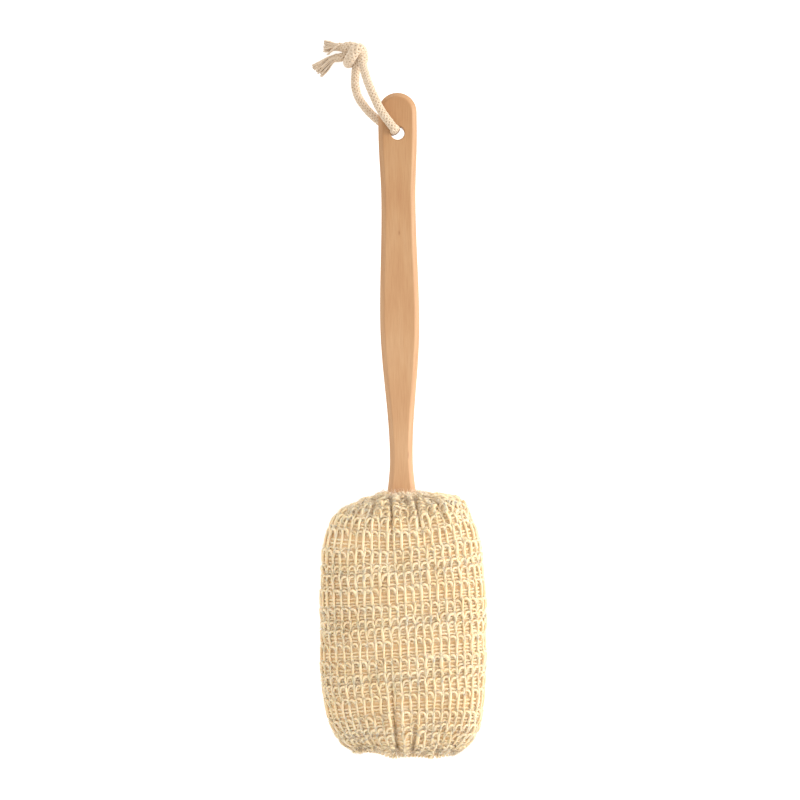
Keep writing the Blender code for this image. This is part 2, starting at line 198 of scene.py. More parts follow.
# The face's colour goes a little darker from the neck to the tip.
height = add(tree, "SeparateXYZ", {0: place})
darker_to_tip = add(tree, "MapRange", {0: height.outputs[1], 1: NECK_Y, 2: TIP_Y})
ground = add(
    tree,
    "Mix",
    {0: darker_to_tip.outputs[0], 6: linear("#cda379"), 7: linear("#ba8f63")},
    data_type="RGBA",
)
pore_tint = add(
    tree, "ValToRGB", {"Fac": pores.outputs["Fac"]}, [(0.3, "#c79f7a"), (0.6, "#ffffff")]
)
tinted = add(
    tree,
    "Mix",
    {0: 1.0, 6: ground.outputs[2], 7: figure_tint.outputs[0]},
    data_type="RGBA",
    blend_type="MULTIPLY",
)
grain = add(
    tree,
    "Mix",
    {0: 0.24, 6: tinted.outputs[2], 7: pore_tint.outputs[0]},
    data_type="RGBA",
    blend_type="MULTIPLY",
)
marked = grain.outputs[2]
for mark_y, mark_x, wide, long in MARKS:
    spot = add(
        tree,
        "Mapping",
        {
            "Vector": place,
            "Location": (-mark_x / wide, -mark_y / long, 0.0),
            "Scale": (1 / (wide * MM), 1 / (long * MM), 0.0),
        },
    )
    away = add(tree, "VectorMath", {0: spot.outputs[0]}, operation="LENGTH")
    depth = add(tree, "MapRange", {0: away.outputs["Value"], 1: 0.2, 2: 1.3, 3: 0.55, 4: 0.0})
    mark = add(
        tree,
        "Mix",
        {0: depth.outputs[0], 6: marked, 7: linear("#8a5a33")},
        data_type="RGBA",
    )
    marked = mark.outputs[2]
tree.links.new(marked, shader.inputs["Base Color"])
sheen_range = add(tree, "MapRange", {0: pores.outputs["Fac"], 3: 0.50, 4: 0.36})
tree.links.new(sheen_range.outputs[0], shader.inputs["Roughness"])
relief = add(
    tree, "Bump", {"Height": pores.outputs["Fac"], "Strength": 0.12, "Distance": 0.1 * MM}
)
tree.links.new(relief.outputs[0], shader.inputs["Normal"])
shader.inputs["IOR"].default_value = 1.48
wear(handle, beech)


# ---------------------------------------------------------------------------------------------
# Foam. Two slabs of open-cell foam, one on each face of the paddle, shaped to the head and
# hollowed for the boards. They are cut foam held in a bag, and they keep the head crowned.

FOAM_VOXEL = 3 * MM
FOAM_CELL = 1.11 * MM

# Open-cell polyurethane foam, cut from a block: dull straw yellow, pitted all over.
foam_stuff, tree, shader = new_material("open_cell_polyurethane_foam")
place = add(tree, "TexCoord").outputs["Object"]
cells = add(tree, "TexVoronoi", {"Vector": place, "Scale": 1 / FOAM_CELL}, feature="F1")
tint = add(
    tree, "ValToRGB", {"Fac": cells.outputs["Distance"]}, [(0.1, "#b99a5c"), (0.6, "#e6cf9a")]
)
tree.links.new(tint.outputs[0], shader.inputs["Base Color"])
relief = add(
    tree, "Bump", {"Height": cells.outputs["Distance"], "Strength": 0.6, "Distance": 0.5 * MM}
)
tree.links.new(relief.outputs[0], shader.inputs["Normal"])
shader.inputs["Roughness"].default_value = 0.95


def select_only(piece):
    """Deselects everything, then selects one object and makes it active."""
    bpy.ops.object.select_all(action="DESELECT")
    piece.select_set(True)
    bpy.context.view_layer.objects.active = piece


for side in ("front", "back"):
    pad = nodes[side + "_foam"].copy()
    pad.data = pad.data.copy()
    pad.name = side + "_foam_pad"
    pad.parent = None
    for key in list(pad.keys()):
        del pad[key]
    bpy.context.scene.collection.objects.link(pad)
    select_only(pad)
    bpy.ops.object.mode_set(mode="EDIT")
    bpy.ops.mesh.select_all(action="SELECT")
    bpy.ops.mesh.remove_doubles(threshold=0.00001)
    bpy.ops.object.mode_set(mode="OBJECT")
    blocks = pad.modifiers.new("even faces", "REMESH")
    blocks.mode = "VOXEL"
    blocks.voxel_size = FOAM_VOXEL
    soften = pad.modifiers.new("soft edges", "SMOOTH")
    soften.factor = 0.5
    soften.iterations = 2
    bpy.ops.object.modifier_apply(modifier="even faces")
    bpy.ops.object.modifier_apply(modifier="soft edges")
    bpy.ops.object.shade_smooth()
    wear(pad, foam_stuff)
    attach(pad, "brush")
    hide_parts(side + "_foam")


# ---------------------------------------------------------------------------------------------
# Lining. A bag of unbleached cotton cloth over the foam. It shows as golden tan between the
# stitches, and it puckers with the sleeve where both are drawn in at the neck and the base.

sleeve_low, sleeve_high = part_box("sisal_sleeve")
HEAD_Y = (sleeve_low.y + sleeve_high.y) / 2
HEAD_Z = (handle_low.z + handle_high.z) / 2
HALF_WIDTH = (sleeve_high.x - sleeve_low.x) / 2
HALF_LENGTH = (sleeve_high.y - sleeve_low.y) / 2
HALF_HEIGHT = sleeve_high.z - HEAD_Z
# How square the head's outline is from above, from the side and in section: 2 is an ellipse.
PLAN_POWER, SIDE_POWER, SECTION_POWER = 3.5, 2.6, 2.7
# The corners are fuller than a plain rounded shape's, a little more at the base than above.
BASE_FULLNESS, NECK_FULLNESS = 0.955, 0.97
# Half the mouth's size, and where along the head it starts to be drawn in and where it ends.
NECK_WIDTH, NECK_HEIGHT = 14.4 * MM, 10.2 * MM
DRAWN_FROM, DRAWN_TO = math.radians(60), math.radians(75.5)
LINING_DEPTH = 2.1 * MM
CLOTH_THICKNESS = 0.4 * MM
THREAD_SPACING = 0.9 * MM
CLOTH_PATCH = 7.14 * MM

# Each pleat: its end, where it starts across, how it leans, half its width, its depth and how
# far it runs, in millimetres.
FRONT_PLEATS = (
    ("neck", -6.6, 0.00, 1.5, 8.5, 22),
    ("neck", 7.6, 0.22, 1.6, 8.0, 22),
    ("neck", 17.5, 0.60, 1.6, 4.8, 14),
    ("neck", -16.0, -0.30, 1.8, 4.0, 16),
    ("neck", 1.8, 0.05, 1.3, 1.8, 14),
    ("neck", -25.0, -0.50, 1.8, 1.8, 12),
    ("base", -4.6, -0.06, 2.0, 8.5, 44),
    ("base", 5.8, 0.05, 1.6, 6.0, 18),
    ("base", 19.0, 0.35, 1.8, 3.0, 16),
    ("base", -17.0, -0.35, 1.9, 2.8, 20),
    ("base", -27.0, -0.45, 1.8, 2.2, 14),
    ("base", 29.0, 0.45, 1.8, 2.4, 14),
)
# Beside its valley a pleat has two low ridges: how high against the valley's depth, and how far
# out and how wide in the valley's half-widths.
RIDGE_SHARE, RIDGE_OUT, RIDGE_WIDE = 0.28, 2.3, 1.3
# A pleat folds in and out of the flat faces more than of the ends.
FOLD_SHARES = (1.0, 0.35, 1.0)
BACK_PLEATS = (
    ("neck", 5.0, 0.05, 1.6, 5.0, 22),
    ("neck", -9.0, -0.25, 1.7, 4.4, 20),
    ("neck", -20.0, -0.40, 1.8, 2.8, 16),
    ("neck", 19.0, 0.35, 1.8, 3.2, 16),
    ("base", 4.0, 0.10, 1.7, 5.5, 26),
    ("base", -8.0, -0.15, 1.6, 4.6, 20),
    ("base", -24.0, -0.30, 2.0, 3.0, 16),
    ("base", 22.0, 0.30, 2.0, 3.2, 16),
)
# Where the head's outline bulges or falls in: across, along, reach and how far out.
BULGES = (
    (27.0, -46.0, 13.0, 2.8),
    (48.0, -51.0, 9.0, -2.5),
    (-36.0, -48.0, 11.0, -3.0),
    (44.0, -196.0, 12.0, 1.2),
    (-25.0, -209.0, 14.0, -4.6),
    (3.0, -210.0, 9.0, -1.8),
    (27.0, -210.0, 10.0, -1.6),
)
# Both ends are gathered all the way round as well, in small even puckers.
PUCKERS = 24
PUCKER_DEPTH = 0.9
GATHERED_OVER = 26 * MM
# The foam is never quite even, so the head has broad, low swells.
SWELL = 0.6


def power(values, exponent):
    """Raises sizes to a power and keeps their signs."""
    return np.sign(values) * np.abs(values) ** exponent


def smooth_step(values, low, high):
    """From 0 at low to 1 at high, level at both."""
    share = np.clip((values - low) / (high - low), 0, 1)
    return share * share * (3 - 2 * share)


def plain_head(turn, rise):
    """The head with no pleats: turn goes round from the front line, rise from base to neck."""
    share = power(np.sin(rise), 2 / SIDE_POWER)
    height = HALF_HEIGHT * np.clip(np.cos(rise), 0, 1) ** (2 / SIDE_POWER)
    fullness = np.where(share < 0, BASE_FULLNESS, NECK_FULLNESS)
    width = HALF_WIDTH * (1 - np.abs(fullness * share) ** PLAN_POWER) ** (1 / PLAN_POWER)
    drawn = smooth_step(rise, DRAWN_FROM, DRAWN_TO)
    width = width + (NECK_WIDTH - width) * drawn
    height = height + (NECK_HEIGHT - height) * drawn
    x = width * power(np.sin(turn), 2 / SECTION_POWER)
    y = HEAD_Y + HALF_LENGTH * share
    z = HEAD_Z + height * power(np.cos(turn), 2 / SECTION_POWER)
    return np.stack([x, y + 0 * x, z], -1)


def running_length(points):
    """How far along a line of points each of them is."""
    return np.concatenate([[0], np.cumsum(np.linalg.norm(np.diff(points, axis=0), axis=1))])


turn_angles = np.linspace(-math.pi, math.pi, 2001)
girth_line = running_length(plain_head(turn_angles, np.zeros_like(turn_angles)))
GIRTH = girth_line[-1]
rise_angles = np.linspace(-math.pi / 2, DRAWN_TO, 2001)
front_line = plain_head(np.zeros_like(rise_angles), rise_angles)
climb_line = running_length(front_line)
CLIMB = climb_line[-1]


def climb_to(y):
    """How far up the front line from the base a height along the brush is."""
    return np.interp(y, front_line[:, 1], climb_line)


def head_surface(around, climb, out):
    """Points on the pleated head: how far round it, how far up it and how far off it."""
    around, climb, out = np.broadcast_arrays(around, climb, out)

    def plain(round_to, up_to):
        turn = np.interp(np.mod(round_to + GIRTH / 2, GIRTH), girth_line, turn_angles)
        return plain_head(turn, np.interp(np.clip(up_to, 0, CLIMB), climb_line, rise_angles))

    step = 0.4 * MM
    up_to = np.clip(climb, step, CLIMB - step)
    middle = plain(around, climb)
    east = plain(around + step, up_to) - plain(around - step, up_to)
    north = plain(around, up_to + step) - plain(around, up_to - step)
    facing = np.cross(east, north)
    facing /= np.maximum(np.linalg.norm(facing, axis=-1, keepdims=True), 1e-12)
    x, y = middle[..., 0] / MM, middle[..., 1] / MM
    front = smooth_step(middle[..., 2] - HEAD_Z, -5 * MM, 5 * MM)
    sink, pull = np.zeros_like(x), np.zeros_like(x)
    for pleats, share in ((FRONT_PLEATS, front), (BACK_PLEATS, 1 - front)):
        for end, start, lean, wide, deep, runs in pleats:
            away = sleeve_high.y / MM - 1.5 - y if end == "neck" else y - sleeve_low.y / MM
            away = np.clip(away, 0, None)
            fade = np.exp(-((away / (0.75 * runs)) ** 1.6)) * share
            off = x - start - lean * away
            valley = np.exp(-((off / wide) ** 2))
            beside = (np.abs(off) - RIDGE_OUT * wide) / (RIDGE_WIDE * wide)
            sink += fade * deep * (valley - RIDGE_SHARE * np.exp(-(beside**2)))
            pull += fade * np.clip(deep / 10, 0, 0.55) * off * np.exp(-((off / (3.6 * wide)) ** 2))
    swell = SWELL * np.sin(x / 9.1 + 1.3 * np.sin(y / 13.0)) * np.cos(y / 11.7 + 0.8)
    from_base = smooth_step(climb, 0, GATHERED_OVER)
    near_end = 1 - from_base * smooth_step(CLIMB - climb, 0, GATHERED_OVER)
    wave = 2 * math.pi * PUCKERS * around / GIRTH
    swell = swell + PUCKER_DEPTH * near_end * np.sin(wave + 1.5 * np.sin(0.31 * wave))
    for at_x, at_y, reach, far in BULGES:
        swell = swell + far * np.exp(-(((x - at_x) / reach) ** 2) - ((y - at_y) / reach) ** 2)
    fold = facing * FOLD_SHARES * (sink * MM)[..., None]
    moved = middle + facing * (out + swell * MM)[..., None] - fold
    moved[..., 0] -= pull * MM
    return moved, facing


bag_around = np.linspace(-GIRTH / 2, GIRTH / 2, 145)[:-1]
bag_climb = np.linspace(2 * MM, CLIMB, 88)
bag_round, bag_up = np.meshgrid(bag_around, bag_climb)
bag_points, _ = head_surface(bag_round, bag_up, -LINING_DEPTH)
bag_points[..., 2] = np.maximum(bag_points[..., 2], 2.2 * MM)
rows, columns = bag_round.shape
bag_faces = [
    (
        r * columns + c,
        r * columns + (c + 1) % columns,
        (r + 1) * columns + (c + 1) % columns,
        (r + 1) * columns + c,
    )
    for r in range(rows - 1)
    for c in range(columns)
]
bag_faces.append(tuple(range(columns)))
bag_mesh = bpy.data.meshes.new("cotton_lining_bag")
bag_mesh.from_pydata(bag_points.reshape(-1, 3).tolist(), [], bag_faces)
bag = bpy.data.objects.new("cotton_lining_bag", bag_mesh)
bpy.context.scene.collection.objects.link(bag)
select_only(bag)
bpy.ops.object.mode_set(mode="EDIT")
bpy.ops.mesh.select_all(action="SELECT")
bpy.ops.mesh.normals_make_consistent(inside=False)
bpy.ops.object.mode_set(mode="OBJECT")
cloth = bag.modifiers.new("cloth", "SOLIDIFY")
cloth.thickness = CLOTH_THICKNESS
cloth.offset = -1.0
bpy.ops.object.modifier_apply(modifier="cloth")
bpy.ops.object.shade_smooth()

# Cotton in a plain weave, unbleached: matt and golden, with fine threads both ways. Real threads
# are about 0.4 mm apart, too fine to show, so they are drawn coarser.
cotton, tree, shader = new_material("unbleached_plain_weave_cotton")
place = add(tree, "TexCoord").outputs["Object"]
warp = add(
    tree,
    "TexWave",
    {"Vector": place, "Scale": WAVE_BAND / THREAD_SPACING, "Distortion": 1.0},
    bands_direction="X",
)
weft = add(
    tree,
    "TexWave",
    {"Vector": place, "Scale": WAVE_BAND / THREAD_SPACING, "Distortion": 1.0},
    bands_direction="Y",
)
weave = add(tree, "Math", {0: warp.outputs["Fac"], 1: weft.outputs["Fac"]}, operation="MULTIPLY")
patch = add(tree, "TexNoise", {"Vector": place, "Scale": 1 / CLOTH_PATCH, "Detail": 4.0})
tone = add(
    tree, "Mix", {0: 0.45, 2: weave.outputs[0], 3: patch.outputs["Fac"]}, data_type="FLOAT"
)
tint = add(
    tree,
    "ValToRGB",
    {"Fac": tone.outputs[0]},
    [(0.1, "#f4cf98"), (0.5, "#fadfb2"), (0.9, "#feeac8")],
)
tree.links.new(tint.outputs[0], shader.inputs["Base Color"])
relief = add(tree, "Bump", {"Height": weave.outputs[0], "Strength": 0.5, "Distance": 0.2 * MM})
tree.links.new(relief.outputs[0], shader.inputs["Normal"])
shader.inputs["Roughness"].default_value = 0.9
wear(bag, cotton)
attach(bag, "brush")
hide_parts("cotton_lining")


# ---------------------------------------------------------------------------------------------
# Sisal sleeve. A tube of plain knitting in thick, loosely spun sisal, pulled over the head. Two
# rows lean one way and the next two the other, so that the tube hangs straight. The loops are
# stretched open: the leaning legs line up as cords, with bars and small arches between them.

# Stitches round the tube, the yarn's width, and how deep its middle lies under the head's skin.
WALES = 50
WALE_WIDTH = GIRTH / WALES
YARN = 1.42 * MM
KNIT_DEPTH = 1.45 * MM
YARN_SIDES = 6
TOP_ROW_Y = -53.2 * MM
# Where the mouth is drawn in the rows crowd together, this far apart in front.
NECK_ROWS = 4
NECK_STEP = 2.4 * MM
# From each row down to the next, for the two rows that lean left and the two that lean right.
ROW_STEPS = (11.7 * MM, 8.3 * MM, 5.4 * MM, 8.5 * MM)
FIRST_STEP = 2
ROW_COUNT = 21
# How much the rows climb to the right, and how much the columns lean.
ROW_SLOPE = 0.062
WALE_DRIFT = 0.045
# How uneven the stitches are: the arches and whole stitches across, in wales, then how far up
# in metres and out in yarns.
UNEVEN_ARCH, UNEVEN_ACROSS, UNEVEN_UP, UNEVEN_OUT = 0.06, 0.03, 0.4 * MM, 0.17

# One loop of the yarn that leans left: how far across (in wales), how far up from its arch (in
# millimetres), which share of the row's height that is measured down from, and how far out (in
# yarns). It starts in the bar that comes from the loop before.
LOOP = (
    (-0.98, 2.2, 0.0, 0.10),
    (-0.66, 2.0, 0.0, 0.05),
    (-0.55, 0.5, 0.0, -0.40),
    (-0.49, -0.8, 0.0, -0.05),
    (-0.36, -0.35, 0.0, 0.50),
    (-0.19, 0.0, 0.0, 0.85),
    (0.02, 0.05, 0.0, 0.95),
    (0.20, -0.45, 0.0, 0.95),
    (0.33, -1.6, 0.0, 0.90),
    (0.40, -3.0, 0.0, 0.60),
    (0.46, -4.5, 0.0, -0.10),
    (0.46, 0.3, 1.0, -0.30),
    (0.30, -1.5, 1.0, -0.05),
    (0.00, -2.1, 1.0, 0.05),
    (-0.32, -1.3, 1.0, -0.05),
    (-0.46, 0.9, 1.0, 0.15),
    (-0.54, 2.3, 1.0, 0.80),
    (-0.50, 0.0, 0.45, 1.00),
    (-0.45, -1.0, 0.0, 0.95),
    (-0.46, 0.5, 0.0, 0.45),
    (-0.36, 2.0, 0.0, 0.05),
)


def smooth_through(points, steps):
    """A smooth curve through points, with the same number of steps between each two."""
    points = np.asarray(points, float)
    first, last = 2 * points[0] - points[1], 2 * points[-1] - points[-2]
    guides = np.concatenate([[first], points, [last]])
    t = (np.arange(steps) / steps)[None, :, None]
    a, b, c, d = (guides[i : len(guides) - 3 + i, None, :] for i in range(4))
    curve = 0.5 * (
        2 * b + (c - a) * t + (2 * a - 5 * b + 4 * c - d) * t**2 + (3 * b - a - 3 * c + d) * t**3
    )
    return np.concatenate([curve.reshape(-1, points.shape[1]), points[-1:]])


def evenly(points, count):
    """The same curve with a count of points, the same distance apart."""
    gone = running_length(points)
    wanted = np.linspace(0, gone[-1], count)
    return np.stack([np.interp(wanted, gone, points[:, i]) for i in range(points.shape[1])], -1)


def strands(name, paths, radii, sides, ups=None, closed=False):
    """One object of round strands that follow paths: strands by points by three numbers."""
    paths = np.asarray(paths, float)
    count, length = paths.shape[:2]
    radii = np.broadcast_to(radii, paths.shape[:2])
    if closed:
        ahead = np.roll(paths, -1, 1) - np.roll(paths, 1, 1)
    else:
        ahead = np.gradient(paths, axis=1)
    ahead = ahead / np.maximum(np.linalg.norm(ahead, axis=2, keepdims=True), 1e-12)
    if ups is None:
        ups = np.empty_like(paths)
        before = np.where(np.abs(ahead[:, 0, 2:]) < 0.9, [[0.0, 0.0, 1.0]], [[1.0, 0.0, 0.0]])
        for i in range(length):
            before = before - (before * ahead[:, i]).sum(1, keepdims=True) * ahead[:, i]
            before = before / np.linalg.norm(before, axis=1, keepdims=True)
            ups[:, i] = before
    across = np.cross(ahead, ups)
    across = across / np.maximum(np.linalg.norm(across, axis=2, keepdims=True), 1e-12)
    top = np.cross(across, ahead)
    angles = 2 * math.pi * np.arange(sides) / sides
    ring = np.cos(angles)[:, None] * across[:, :, None] + np.sin(angles)[:, None] * top[:, :, None]
    points = paths[:, :, None] + radii[:, :, None, None] * ring
    spans = length if closed else length - 1
    s, i, k = np.meshgrid(np.arange(count), np.arange(spans), np.arange(sides), indexing="ij")
    after_i, after_k = (i + 1) % length, (k + 1) % sides
    corners = [
        (s * length + at) * sides + side
        for at, side in ((i, k), (after_i, k), (after_i, after_k), (i, after_k))
    ]
    faces = np.stack(corners, -1).reshape(-1, 4).tolist()
    steps = np.linalg.norm(np.diff(paths, axis=1, append=paths[:, :1]), axis=2)
    gone = np.concatenate([np.zeros((count, 1)), np.cumsum(steps, axis=1)], axis=1)
    here, there = gone[s, i], gone[s, i + 1]
    low, high = k / sides, (k + 1) / sides
    unrolled = np.stack([here, low, there, low, there, high, here, high], -1).reshape(-1)
    if not closed:
        ends = []
        for n in range(count):
            start, finish = n * length * sides, ((n + 1) * length - 1) * sides
            faces.append(list(range(start, start + sides)))
            faces.append(list(range(finish + sides - 1, finish - 1, -1)))
            ends += [0.0, 0.5] * sides + [gone[n, length - 1], 0.5] * sides
        unrolled = np.concatenate([unrolled, ends])
    mesh = bpy.data.meshes.new(name)
    mesh.from_pydata(points.reshape(-1, 3).tolist(), [], faces)
    mesh.uv_layers.new(name="yarn").data.foreach_set("uv", unrolled.astype(np.float32))
    mesh.shade_smooth()
    piece = bpy.data.objects.new(name, mesh)
    bpy.context.scene.collection.objects.link(piece)
    return piece


chance = np.random.default_rng(7)


def slow_noise(count, spacing):
    """Smooth random numbers, about one bump to each spacing."""
    knots = chance.standard_normal(max(4, count // spacing))
    knots[-1] = knots[0]
    return np.interp(np.linspace(0, len(knots) - 1, count), np.arange(len(knots)), knots)


def row_line(around, climb):
    """Where a row really runs: it climbs to the right and sags or lifts near the ends."""
    across = np.sin(2 * math.pi * around / GIRTH)
    near_base = np.exp(-(((climb - 30 * MM) / (22 * MM)) ** 2))
    near_neck = np.exp(-(((CLIMB - climb - 24 * MM) / (20 * MM)) ** 2))
    level = smooth_step(climb, 0, 40 * MM) * smooth_step(CLIMB - climb, 0, 40 * MM)
    lifted = HALF_WIDTH * ROW_SLOPE * across * level
    return climb + lifted + across**2 * (5 * MM * near_neck - 3.5 * MM * near_base)


row_ys = [TOP_ROW_Y]
for row in range(ROW_COUNT - 1):
    row_ys.append(row_ys[-1] - ROW_STEPS[(row + FIRST_STEP) % 4])
row_climbs = [*climb_to(np.maximum(row_ys, sleeve_low.y + 3.2 * MM)), 0.0]
neck_climbs = [row_climbs[0] + NECK_STEP * n for n in range(NECK_ROWS, 0, -1)]
row_climbs = neck_climbs + row_climbs
left_loop = np.array(LOOP)
right_loop = np.concatenate([left_loop[:1], left_loop[:0:-1]]) * [-1, 1, 1, 1]
right_loop[0, 0] = -0.02
yarn_paths, yarn_ups, yarn_radii = [], [], []
wales = np.arange(WALES)[:, None]
for row in range(NECK_ROWS + ROW_COUNT):
    arch, below = row_climbs[row], row_climbs[row + 1]
    leans_left = (row - NECK_ROWS + FIRST_STEP) % 4 in (0, 1)
    shape = (left_loop if leans_left else right_loop).copy()
    shape[:, 1] *= min(1, (arch - below) / ROW_STEPS[2])
    ends = abs(2 * arch / CLIMB - 1) ** 4
    loose = (1 + 1.6 * ends) * chance.standard_normal((WALES, 4))
    arch_part = (shape[:, 3] > 0.3) & (shape[:, 2] == 0)
    across = wales + shape[None, :, 0] + UNEVEN_ARCH * loose[:, :1] * arch_part
    across = across + UNEVEN_ACROSS * loose[:, 1:2]
    up = arch + shape[None, :, 1] * MM - shape[None, :, 2] * (arch - below)
    up = up + UNEVEN_UP * loose[:, 2:3] * (shape[:, 2] < 1)
    out = YARN * (shape[None, :, 3] + UNEVEN_OUT * loose[:, 3:4] * (shape[:, 3] > 0))
    around = WALE_WIDTH * across + WALE_DRIFT * (CLIMB / 2 - up)
    climb = np.clip(row_line(around, up), 0.4 * MM, CLIMB)
    points, facing = head_surface(around, climb, out - KNIT_DEPTH)
    points, facing = points.reshape(-1, 3), facing.reshape(-1, 3)
    count = len(points)
    slubs = np.clip(slow_noise(count, 22) - 1.0, 0, 1.3)
    size = 1 + 0.11 * slow_noise(count, 9) + 0.45 * slubs + 0.05 * chance.standard_normal(count)
    yarn_paths.append(points + 0.07 * MM * chance.standard_normal(points.shape))
    yarn_ups.append(facing)
    yarn_radii.append(0.58 * YARN * np.clip(size, 0.65, 1.7))
yarn_paths, yarn_ups, yarn_radii = np.array(yarn_paths), np.array(yarn_ups), np.array(yarn_radii)
yarn_paths[..., 2] = np.maximum(yarn_paths[..., 2], yarn_radii + 0.1 * MM)

TWIST_LENGTH = 9 * MM
FIBRE_LENGTH = 7 * MM
# How many fibres lie side by side round the yarn, and the size of the bale's paler patches.
FIBRES_ROUND = 7.0
BALE_PATCH = 13.3 * MM

# Sisal leaf fibre, combed and loosely spun: matt pale straw, streaked slantwise along the yarn,
# with shadows softened by the light that passes through it.
sisal, tree, shader = new_material("loosely_spun_sisal")
yarn_place = add(tree, "UVMap", uv_map="yarn").outputs[0]
split = add(tree, "SeparateXYZ", {0: yarn_place})
spun = add(
    tree,
    "Math",
    {0: split.outputs[0], 1: 1 / TWIST_LENGTH, 2: split.outputs[1]},
    operation="MULTIPLY_ADD",
)
lengthwise = add(tree, "Math", {0: split.outputs[0], 1: 1 / FIBRE_LENGTH}, operation="MULTIPLY")
roundwise = add(tree, "Math", {0: spun.outputs[0], 1: FIBRES_ROUND}, operation="MULTIPLY")
fibre_place = add(tree, "CombineXYZ", {0: lengthwise.outputs[0], 1: roundwise.outputs[0]})
fibres = add(
    tree,
    "TexNoise",
    {"Vector": fibre_place.outputs[0], "Scale": 1.0, "Detail": 4.0, "Roughness": 0.65},
)
place = add(tree, "TexCoord").outputs["Object"]
bale = add(tree, "TexNoise", {"Vector": place, "Scale": 1 / BALE_PATCH, "Detail": 3.0})
tone = add(
    tree, "Mix", {0: 0.45, 2: fibres.outputs["Fac"], 3: bale.outputs["Fac"]}, data_type="FLOAT"
)
tint = add(
    tree,
    "ValToRGB",
    {"Fac": tone.outputs[0]},
    [(0.30, "#e8c999"), (0.46, "#f0d5ac"), (0.68, "#f5dfbe")],
)
tree.links.new(tint.outputs[0], shader.inputs["Base Color"])
relief = add(
    tree, "Bump", {"Height": fibres.outputs["Fac"], "Strength": 0.7, "Distance": 0.3 * MM}
)
tree.links.new(relief.outputs[0], shader.inputs["Normal"])
shader.inputs["Roughness"].default_value = 0.75
shader.inputs["Subsurface Weight"].default_value = 0.6
shader.inputs["Subsurface Radius"].default_value = (1.0, 0.8, 0.55)
shader.inputs["Subsurface Scale"].default_value = 1.5 * MM

HALF_ROWS = NECK_ROWS + ROW_COUNT // 2
for half, rows in (("upper", slice(0, HALF_ROWS)), ("lower", slice(HALF_ROWS, None))):
    knit = strands(
        "sisal_knit_" + half,
        yarn_paths[rows],
        yarn_radii[rows],
        YARN_SIDES,
        yarn_ups[rows],
        closed=True,
    )
    wear(knit, sisal)
    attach(knit, "brush")
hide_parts("sisal_sleeve")

# A second yarn floats behind the rows, one or two turns to each, and shows as bars in the gaps.
FLOAT_SPACING = 2.15 * MM
FLOAT_ROOM = 3.9 * MM
FLOAT_RADIUS = 0.56 * YARN
float_paths, float_ups = [], []
half_wales = np.arange(2 * WALES) / 2
for row in range(NECK_ROWS, NECK_ROWS + ROW_COUNT):
    above = 2 * FLOAT_SPACING
    while above < row_climbs[row] - row_climbs[row + 1] - FLOAT_ROOM:
        up = row_climbs[row + 1] + above + 0.2 * MM * chance.standard_normal(2 * WALES)
        around = WALE_WIDTH * half_wales + WALE_DRIFT * (CLIMB / 2 - up)
        behind = np.where(np.arange(2 * WALES) % 2 == 1, 0.0, 0.35) * YARN
        points, facing = head_surface(around, row_line(around, up), behind - KNIT_DEPTH)
        float_paths.append(points)
        float_ups.append(facing)
        above += FLOAT_SPACING
float_paths = np.array(float_paths)
float_paths[..., 2] = np.maximum(float_paths[..., 2], 0.9 * MM)
floats = strands(
    "sisal_float_yarns", float_paths, FLOAT_RADIUS, YARN_SIDES, np.array(float_ups), closed=True
)
wear(floats, sisal)
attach(floats, "brush")


# ---------------------------------------------------------------------------------------------
# Base hem. The sleeve's lower edge is turned in and whipped over with the same yarn, so the
# brush ends in a wavy roll of slanting turns.

# Along the roll's middle: across, along and up, in millimetres.
HEM_ROUTE = (
    (-38.0, -199.0, 20.5),
    (-33.0, -202.0, 21.5),
    (-26.0, -204.2, 22.5),
    (-18.0, -205.6, 23.0),
    (-12.0, -207.2, 23.2),
    (-7.0, -208.8, 23.4),
    (-3.4, -208.2, 22.6),
    (3.0, -207.8, 23.2),
    (9.6, -208.2, 23.4),
    (15.0, -209.2, 23.4),
    (20.5, -209.0, 23.4),
    (28.0, -207.0, 23.0),
    (34.0, -203.6, 21.8),
    (39.0, -199.6, 20.5),
)
HEM_RADIUS = 1.7 * MM
WHIP_PITCH = 2.1 * MM
WHIP_RADIUS = 0.52 * YARN
TURN_POINTS = 10
# A direction that no roll runs along.
STEADY = (0.0, 0.6, 0.8)


def whipped(name, route, radius):
    """Turns of sisal yarn wound round a roll that follows a route."""
    turns = int(running_length(route)[-1] / WHIP_PITCH)
    core = evenly(route, turns * TURN_POINTS)
    along = np.gradient(core, axis=0)
    along /= np.linalg.norm(along, axis=1, keepdims=True)
    first = np.cross(along, np.cross(STEADY, along))
    first /= np.linalg.norm(first, axis=1, keepdims=True)
    second = np.cross(along, first)
    spin = 2 * math.pi * (np.arange(len(core)) / TURN_POINTS + 0.25 * slow_noise(len(core), 14))
    swell = radius * (1 + 0.16 * slow_noise(len(core), 30))
    turned = np.cos(spin)[:, None] * first + np.sin(spin)[:, None] * second
    roll = strands(name, (core + swell[:, None] * turned)[None], WHIP_RADIUS, 5)
    wear(roll, sisal)
    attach(roll, "brush")
    return roll


hem = whipped("sisal_base_hem", smooth_through(np.array(HEM_ROUTE) * MM, 12), HEM_RADIUS)
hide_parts("base_closing_thread")

